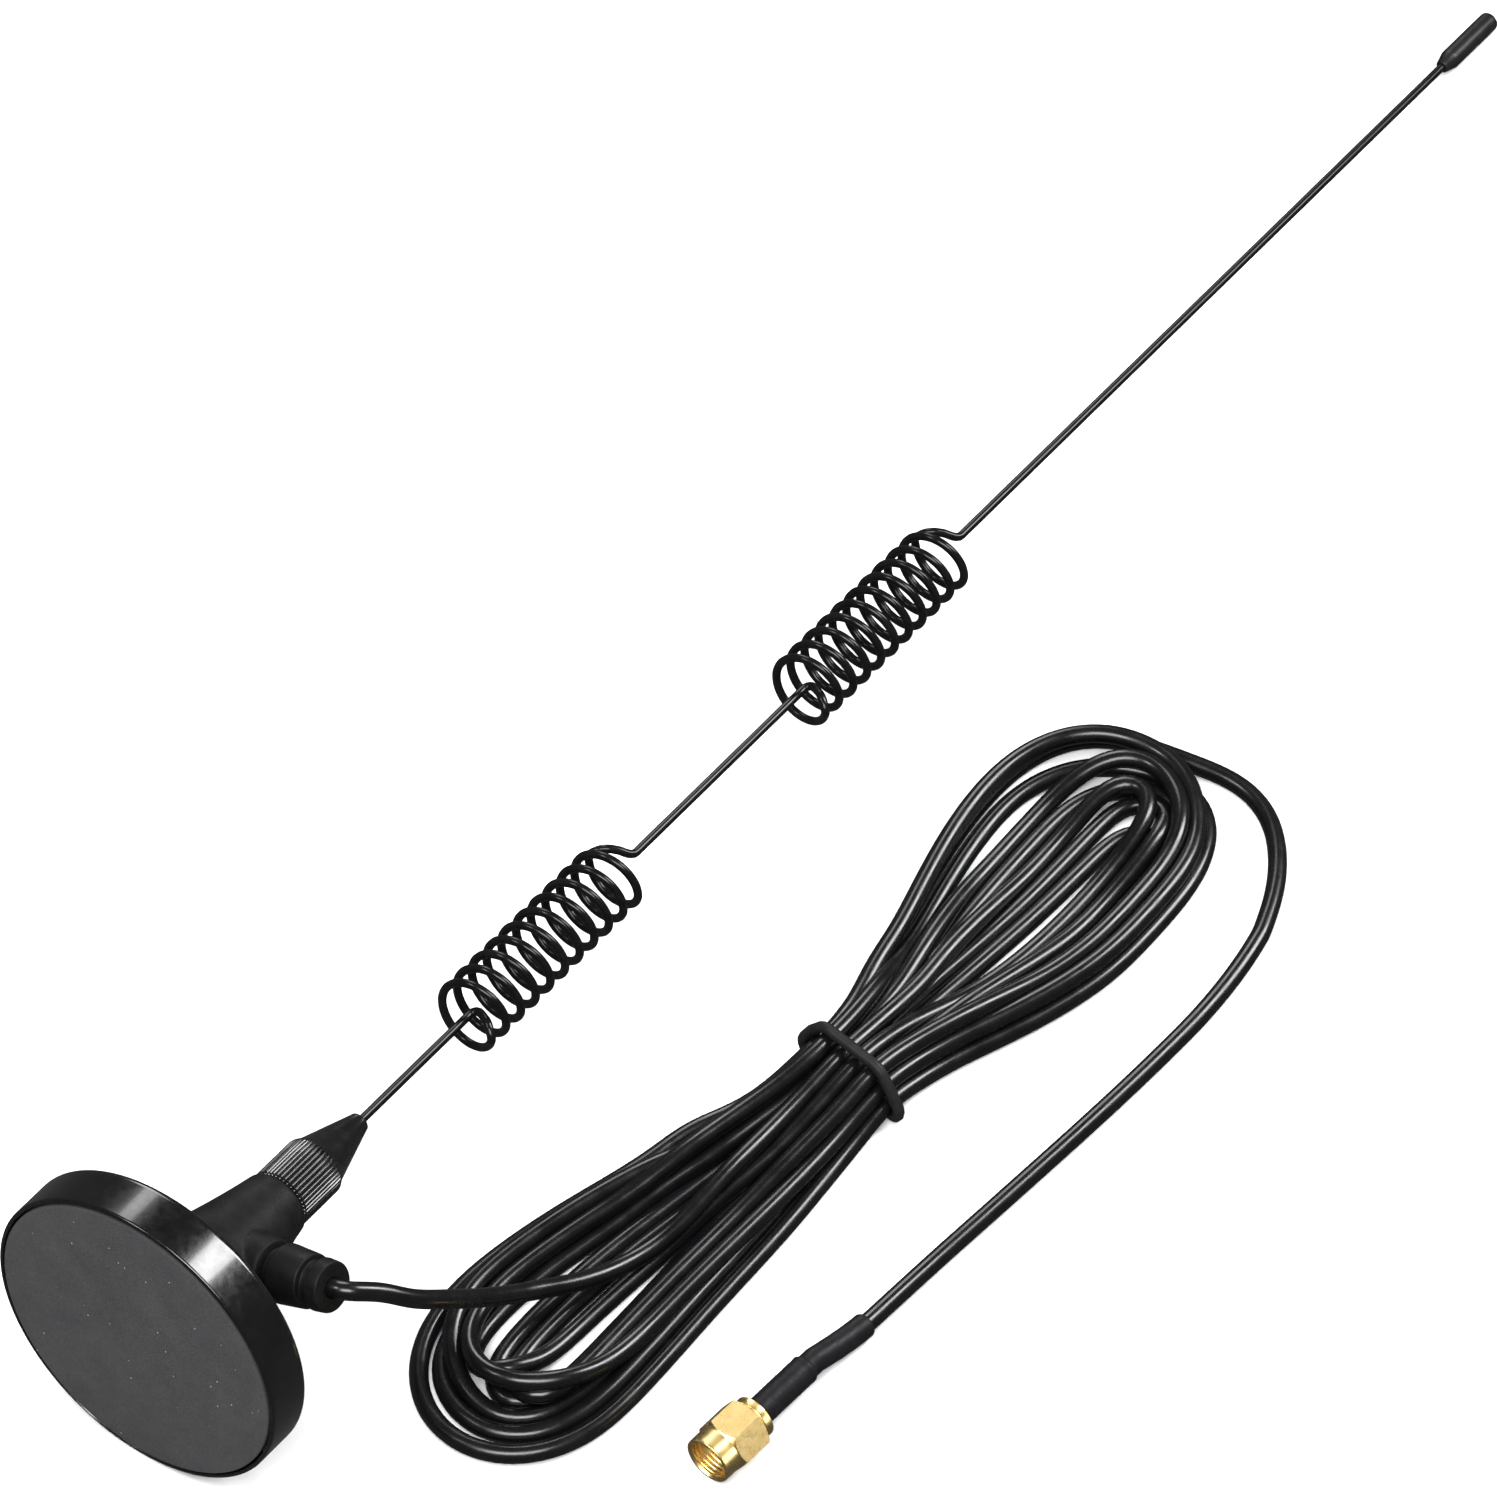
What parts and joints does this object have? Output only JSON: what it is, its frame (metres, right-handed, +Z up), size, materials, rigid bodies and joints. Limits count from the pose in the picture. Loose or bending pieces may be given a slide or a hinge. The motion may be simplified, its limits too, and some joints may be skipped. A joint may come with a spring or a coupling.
{
  "type": "magnetic mount whip antenna",
  "caption": "Omnidirectional whip antenna with phasing coils on a round magnetic base, with a side cable exit, a tied hank of thin coax and an SMA plug, lying on its side.",
  "frame": {"origin": "on the table, midway between the magnetic base's underside and the whip's tip, under the whip's axis", "axes": "+Y along the lying whip, from the base towards the tip; +Z up from the table; +X towards the cable"},
  "size_m": [0.105, 0.3502, 0.0503],
  "materials": {
    "cup_gloss": "deep gloss black paint",
    "pad_rubber": "matt grey-black felt-like rubber",
    "ferrite": "dull sintered ferrite",
    "steel": "plain bright steel",
    "stem_plastic": "matt black with a fine spark texture",
    "boot_rubber": "matt black moulded rubber",
    "whip_paint": "gloss black paint",
    "cap_rubber": "satin black",
    "cable_jacket": "gloss black PVC",
    "tie_rubber": "matt dark grey",
    "shrink": "satin black heat-shrink",
    "gold": "bright gold plating",
    "white_plastic": "white fluoropolymer",
    "gasket_rubber": "red silicone"
  },
  "bodies": {
    "base": {"base_cup": "cup_gloss", "base_pad": "pad_rubber", "magnet_ring": "ferrite", "ground_plate": "steel", "base_screw": "steel", "stem_nut": "steel", "stem_housing": "stem_plastic", "strain_relief_boot": "boot_rubber", "cable_entry": "cable_jacket", "insulator_bush": "white_plastic", "contact_stud": "gold", "solder_lug": "steel", "cable_tail": "cable_jacket", "cable_hank": "cable_jacket", "cable_lead": "cable_jacket", "cable_tie_ring": "tie_rubber", "heat_shrink_sleeve": "shrink", "crimp_ferrule": "gold", "sma_body": "gold", "sma_dielectric": "white_plastic", "sma_center_pin": "gold", "sma_snap_ring": "steel", "sma_gasket": "gasket_rubber"},
    "seal": {"seal_ring": "tie_rubber"},
    "whip_lower": {"whip_chuck": "whip_paint", "whip_rod_lower": "whip_paint", "lower_coil": "whip_paint"},
    "whip_middle": {"whip_rod_middle": "whip_paint", "upper_coil": "whip_paint"},
    "whip_upper": {"whip_rod_upper": "whip_paint", "tip_cap": "cap_rubber"},
    "plug_nut": {"sma_coupling_nut": "gold"}
  },
  "joints": [
    {"name": "whip_lift", "type": "slide", "parent": "base", "child": "seal", "axis": [0, 0.9977, -0.0682], "range_m": [0, 0.0056]},
    {"name": "whip_unscrew", "type": "hinge", "parent": "seal", "child": "whip_lower", "pos_m": [0, -0.13758, 0.02296], "axis": [0, 0.9977, -0.0682], "range_deg": [0, 2520]},
    {"name": "lower_coil_flex", "type": "hinge", "parent": "whip_lower", "child": "whip_middle", "pos_m": [0, -0.07723, 0.01884], "axis": [0, 0.0682, 0.9977], "range_deg": [-30, 30], "stiffness_Nm_per_rad": 0.085, "deforming": ["lower_coil"]},
    {"name": "upper_coil_flex", "type": "hinge", "parent": "whip_middle", "child": "whip_upper", "pos_m": [0, 0.00588, 0.01315], "axis": [0, 0.0682, 0.9977], "range_deg": [-30, 30], "stiffness_Nm_per_rad": 0.085, "deforming": ["upper_coil"]},
    {"name": "plug_nut_spin", "type": "hinge", "parent": "base", "child": "plug_nut", "pos_m": [0.06955, -0.12468, 0.004], "axis": [-0.075, -0.9972, 0], "continuous": true}
  ],
  "couplings": [
    {"joint": "whip_unscrew", "follows": "whip_lift", "rad_per_m": 7854}
  ]
}
